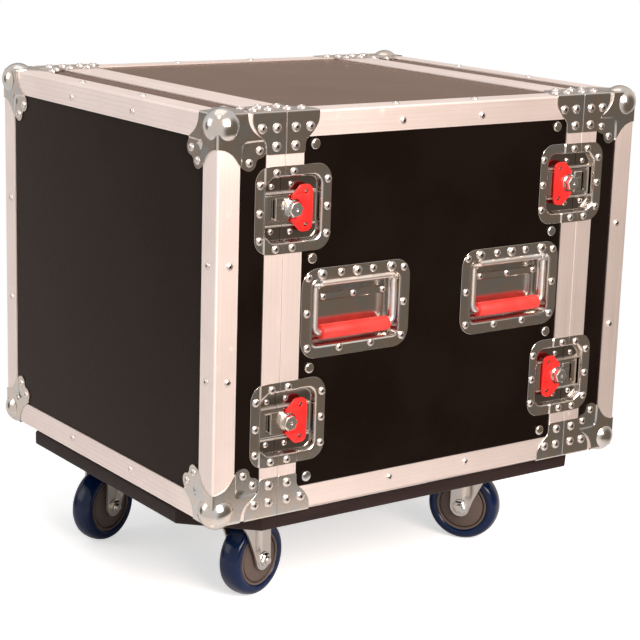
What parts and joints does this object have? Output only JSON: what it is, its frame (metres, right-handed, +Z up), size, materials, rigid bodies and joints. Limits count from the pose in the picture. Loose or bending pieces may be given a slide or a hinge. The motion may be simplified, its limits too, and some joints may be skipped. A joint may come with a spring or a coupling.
{
  "type": "amp rack case",
  "caption": "Plywood flight case on swivel casters with lift-off end lids, recessed butterfly latches and sprung handles, for rack-mounted amplifiers",
  "frame": {"origin": "on the floor under the middle of the case", "axes": "+Z up, +X to the case's right side, -Y to the front lid"},
  "size_m": [0.5466, 0.6546, 0.6413],
  "materials": {
    "laminate": "black phenolic laminate with a fine satin texture, over plywood",
    "aluminium": "extruded aluminium with fine lengthwise ribs, mill finish",
    "zinc": "bright zinc-plated pressed steel",
    "rail_steel": "black coated steel",
    "board": "dark stained plywood",
    "red": "red plastic sleeve",
    "red_paint": "red painted steel",
    "wheel": "blue elastic tread on a grey hub"
  },
  "bodies": {
    "case": {"body_frame": "aluminium", "side_panel_right": "laminate", "side_panel_left": "laminate", "top_panel": "laminate", "bottom_panel": "laminate", "caster_board": "board", "rack_rail_front_right": "rail_steel", "rack_rail_front_left": "rail_steel", "rack_rail_rear_right": "rail_steel", "rack_rail_rear_left": "rail_steel", "handle_dish_front_right": "zinc", "handle_dish_front_left": "zinc", "handle_dish_rear_right": "zinc", "handle_dish_rear_left": "zinc", "caster_plate_front_right": "zinc", "caster_plate_front_left": "zinc", "caster_plate_rear_right": "zinc", "caster_plate_rear_left": "zinc"},
    "front_lid": {"front_lid_panel": "laminate", "front_lid_frame": "aluminium"},
    "rear_lid": {"rear_lid_panel": "laminate", "rear_lid_frame": "aluminium"},
    "spindle_front_right_lower": {"latch_spindle_front_right_lower": "zinc"},
    "hook_front_right_lower": {"latch_hook_front_right_lower": "zinc"},
    "wing_front_right_lower": {"latch_wing_front_right_lower": "red_paint"},
    "spindle_front_right_upper": {"latch_spindle_front_right_upper": "zinc"},
    "hook_front_right_upper": {"latch_hook_front_right_upper": "zinc"},
    "wing_front_right_upper": {"latch_wing_front_right_upper": "red_paint"},
    "spindle_front_left_lower": {"latch_spindle_front_left_lower": "zinc"},
    "hook_front_left_lower": {"latch_hook_front_left_lower": "zinc"},
    "wing_front_left_lower": {"latch_wing_front_left_lower": "red_paint"},
    "spindle_front_left_upper": {"latch_spindle_front_left_upper": "zinc"},
    "hook_front_left_upper": {"latch_hook_front_left_upper": "zinc"},
    "wing_front_left_upper": {"latch_wing_front_left_upper": "red_paint"},
    "spindle_rear_right_lower": {"latch_spindle_rear_right_lower": "zinc"},
    "hook_rear_right_lower": {"latch_hook_rear_right_lower": "zinc"},
    "wing_rear_right_lower": {"latch_wing_rear_right_lower": "red_paint"},
    "spindle_rear_right_upper": {"latch_spindle_rear_right_upper": "zinc"},
    "hook_rear_right_upper": {"latch_hook_rear_right_upper": "zinc"},
    "wing_rear_right_upper": {"latch_wing_rear_right_upper": "red_paint"},
    "spindle_rear_left_lower": {"latch_spindle_rear_left_lower": "zinc"},
    "hook_rear_left_lower": {"latch_hook_rear_left_lower": "zinc"},
    "wing_rear_left_lower": {"latch_wing_rear_left_lower": "red_paint"},
    "spindle_rear_left_upper": {"latch_spindle_rear_left_upper": "zinc"},
    "hook_rear_left_upper": {"latch_hook_rear_left_upper": "zinc"},
    "wing_rear_left_upper": {"latch_wing_rear_left_upper": "red_paint"},
    "bail_front_right": {"handle_bail_front_right": "red"},
    "bail_front_left": {"handle_bail_front_left": "red"},
    "bail_rear_right": {"handle_bail_rear_right": "red"},
    "bail_rear_left": {"handle_bail_rear_left": "red"},
    "fork_front_right": {"caster_fork_front_right": "zinc"},
    "wheel_front_right": {"caster_wheel_front_right": "wheel"},
    "fork_front_left": {"caster_fork_front_left": "zinc"},
    "wheel_front_left": {"caster_wheel_front_left": "wheel"},
    "fork_rear_right": {"caster_fork_rear_right": "zinc"},
    "wheel_rear_right": {"caster_wheel_rear_right": "wheel"},
    "fork_rear_left": {"caster_fork_rear_left": "zinc"},
    "wheel_rear_left": {"caster_wheel_rear_left": "wheel"}
  },
  "joints": [
    {"name": "front_lid_lift_off", "type": "slide", "parent": "case", "child": "front_lid", "axis": [0, -1, 0], "range_m": [0, 0.15]},
    {"name": "rear_lid_lift_off", "type": "slide", "parent": "case", "child": "rear_lid", "axis": [0, 1, 0], "range_m": [0, 0.15]},
    {"name": "spindle_front_right_lower_turn", "type": "hinge", "parent": "case", "child": "spindle_front_right_lower", "pos_m": [0.266, -0.215, 0.2665], "axis": [1, 0, 0], "range_deg": [0, 180]},
    {"name": "hook_front_right_lower_slide", "type": "slide", "parent": "case", "child": "hook_front_right_lower", "axis": [0, -1, 0], "range_m": [0, 0.00705]},
    {"name": "wing_front_right_lower_fold", "type": "hinge", "parent": "spindle_front_right_lower", "child": "wing_front_right_lower", "pos_m": [0.2635, -0.215, 0.2665], "axis": [0, 0, -1], "range_deg": [0, 90]},
    {"name": "spindle_front_right_upper_turn", "type": "hinge", "parent": "case", "child": "spindle_front_right_upper", "pos_m": [0.266, -0.215, 0.5215], "axis": [1, 0, 0], "range_deg": [0, 180]},
    {"name": "hook_front_right_upper_slide", "type": "slide", "parent": "case", "child": "hook_front_right_upper", "axis": [0, -1, 0], "range_m": [0, 0.00705]},
    {"name": "wing_front_right_upper_fold", "type": "hinge", "parent": "spindle_front_right_upper", "child": "wing_front_right_upper", "pos_m": [0.2635, -0.215, 0.5215], "axis": [0, 0, -1], "range_deg": [0, 90]},
    {"name": "spindle_front_left_lower_turn", "type": "hinge", "parent": "case", "child": "spindle_front_left_lower", "pos_m": [-0.266, -0.215, 0.2665], "axis": [-1, 0, 0], "range_deg": [0, 180]},
    {"name": "hook_front_left_lower_slide", "type": "slide", "parent": "case", "child": "hook_front_left_lower", "axis": [0, -1, 0], "range_m": [0, 0.00705]},
    {"name": "wing_front_left_lower_fold", "type": "hinge", "parent": "spindle_front_left_lower", "child": "wing_front_left_lower", "pos_m": [-0.2635, -0.215, 0.2665], "axis": [0, 0, 1], "range_deg": [0, 90]},
    {"name": "spindle_front_left_upper_turn", "type": "hinge", "parent": "case", "child": "spindle_front_left_upper", "pos_m": [-0.266, -0.215, 0.5215], "axis": [-1, 0, 0], "range_deg": [0, 180]},
    {"name": "hook_front_left_upper_slide", "type": "slide", "parent": "case", "child": "hook_front_left_upper", "axis": [0, -1, 0], "range_m": [0, 0.00705]},
    {"name": "wing_front_left_upper_fold", "type": "hinge", "parent": "spindle_front_left_upper", "child": "wing_front_left_upper", "pos_m": [-0.2635, -0.215, 0.5215], "axis": [0, 0, 1], "range_deg": [0, 90]},
    {"name": "spindle_rear_right_lower_turn", "type": "hinge", "parent": "case", "child": "spindle_rear_right_lower", "pos_m": [0.266, 0.215, 0.2665], "axis": [1, 0, 0], "range_deg": [0, 180]},
    {"name": "hook_rear_right_lower_slide", "type": "slide", "parent": "case", "child": "hook_rear_right_lower", "axis": [0, 1, 0], "range_m": [0, 0.00705]},
    {"name": "wing_rear_right_lower_fold", "type": "hinge", "parent": "spindle_rear_right_lower", "child": "wing_rear_right_lower", "pos_m": [0.2635, 0.215, 0.2665], "axis": [0, 0, 1], "range_deg": [0, 90]},
    {"name": "spindle_rear_right_upper_turn", "type": "hinge", "parent": "case", "child": "spindle_rear_right_upper", "pos_m": [0.266, 0.215, 0.5215], "axis": [1, 0, 0], "range_deg": [0, 180]},
    {"name": "hook_rear_right_upper_slide", "type": "slide", "parent": "case", "child": "hook_rear_right_upper", "axis": [0, 1, 0], "range_m": [0, 0.00705]},
    {"name": "wing_rear_right_upper_fold", "type": "hinge", "parent": "spindle_rear_right_upper", "child": "wing_rear_right_upper", "pos_m": [0.2635, 0.215, 0.5215], "axis": [0, 0, 1], "range_deg": [0, 90]},
    {"name": "spindle_rear_left_lower_turn", "type": "hinge", "parent": "case", "child": "spindle_rear_left_lower", "pos_m": [-0.266, 0.215, 0.2665], "axis": [-1, 0, 0], "range_deg": [0, 180]},
    {"name": "hook_rear_left_lower_slide", "type": "slide", "parent": "case", "child": "hook_rear_left_lower", "axis": [0, 1, 0], "range_m": [0, 0.00705]},
    {"name": "wing_rear_left_lower_fold", "type": "hinge", "parent": "spindle_rear_left_lower", "child": "wing_rear_left_lower", "pos_m": [-0.2635, 0.215, 0.2665], "axis": [0, 0, -1], "range_deg": [0, 90]},
    {"name": "spindle_rear_left_upper_turn", "type": "hinge", "parent": "case", "child": "spindle_rear_left_upper", "pos_m": [-0.266, 0.215, 0.5215], "axis": [-1, 0, 0], "range_deg": [0, 180]},
    {"name": "hook_rear_left_upper_slide", "type": "slide", "parent": "case", "child": "hook_rear_left_upper", "axis": [0, 1, 0], "range_m": [0, 0.00705]},
    {"name": "wing_rear_left_upper_fold", "type": "hinge", "parent": "spindle_rear_left_upper", "child": "wing_rear_left_upper", "pos_m": [-0.2635, 0.215, 0.5215], "axis": [0, 0, -1], "range_deg": [0, 90]},
    {"name": "bail_front_right_lift", "type": "hinge", "parent": "case", "child": "bail_front_right", "pos_m": [0.262, -0.121, 0.4265], "axis": [0, -1, 0], "range_deg": [0, 90], "stiffness_Nm_per_rad": 0.3},
    {"name": "bail_front_left_lift", "type": "hinge", "parent": "case", "child": "bail_front_left", "pos_m": [-0.262, -0.121, 0.4265], "axis": [0, 1, 0], "range_deg": [0, 90], "stiffness_Nm_per_rad": 0.3},
    {"name": "bail_rear_right_lift", "type": "hinge", "parent": "case", "child": "bail_rear_right", "pos_m": [0.262, 0.121, 0.4265], "axis": [0, -1, 0], "range_deg": [0, 90], "stiffness_Nm_per_rad": 0.3},
    {"name": "bail_rear_left_lift", "type": "hinge", "parent": "case", "child": "bail_rear_left", "pos_m": [-0.262, 0.121, 0.4265], "axis": [0, 1, 0], "range_deg": [0, 90], "stiffness_Nm_per_rad": 0.3},
    {"name": "fork_front_right_swivel", "type": "hinge", "parent": "case", "child": "fork_front_right", "pos_m": [0.1465, -0.21, 0.1128], "axis": [0, 0, 1], "continuous": true},
    {"name": "wheel_front_right_roll", "type": "hinge", "parent": "fork_front_right", "child": "wheel_front_right", "pos_m": [0.13587, -0.17728, 0.05], "axis": [-0.9511, -0.309, 0], "continuous": true},
    {"name": "fork_front_left_swivel", "type": "hinge", "parent": "case", "child": "fork_front_left", "pos_m": [-0.1465, -0.21, 0.1128], "axis": [0, 0, 1], "continuous": true},
    {"name": "wheel_front_left_roll", "type": "hinge", "parent": "fork_front_left", "child": "wheel_front_left", "pos_m": [-0.13473, -0.24233, 0.05], "axis": [0.9397, 0.342, 0], "continuous": true},
    {"name": "fork_rear_right_swivel", "type": "hinge", "parent": "case", "child": "fork_rear_right", "pos_m": [0.1465, 0.21, 0.1128], "axis": [0, 0, 1], "continuous": true},
    {"name": "wheel_rear_right_roll", "type": "hinge", "parent": "fork_rear_right", "child": "wheel_rear_right", "pos_m": [0.11749, 0.19152, 0.05], "axis": [0.5373, -0.8434, 0], "continuous": true},
    {"name": "fork_rear_left_swivel", "type": "hinge", "parent": "case", "child": "fork_rear_left", "pos_m": [-0.1465, 0.21, 0.1128], "axis": [0, 0, 1], "continuous": true},
    {"name": "wheel_rear_left_roll", "type": "hinge", "parent": "fork_rear_left", "child": "wheel_rear_left", "pos_m": [-0.1293, 0.18021, 0.05], "axis": [0.866, 0.5, 0], "continuous": true}
  ],
  "couplings": [
    {"joint": "hook_front_right_lower_slide", "follows": "spindle_front_right_lower_turn", "m_per_rad": 0.0022282},
    {"joint": "hook_front_right_upper_slide", "follows": "spindle_front_right_upper_turn", "m_per_rad": 0.0022282},
    {"joint": "hook_front_left_lower_slide", "follows": "spindle_front_left_lower_turn", "m_per_rad": 0.0022282},
    {"joint": "hook_front_left_upper_slide", "follows": "spindle_front_left_upper_turn", "m_per_rad": 0.0022282},
    {"joint": "hook_rear_right_lower_slide", "follows": "spindle_rear_right_lower_turn", "m_per_rad": 0.0022282},
    {"joint": "hook_rear_right_upper_slide", "follows": "spindle_rear_right_upper_turn", "m_per_rad": 0.0022282},
    {"joint": "hook_rear_left_lower_slide", "follows": "spindle_rear_left_lower_turn", "m_per_rad": 0.0022282},
    {"joint": "hook_rear_left_upper_slide", "follows": "spindle_rear_left_upper_turn", "m_per_rad": 0.0022282}
  ]
}
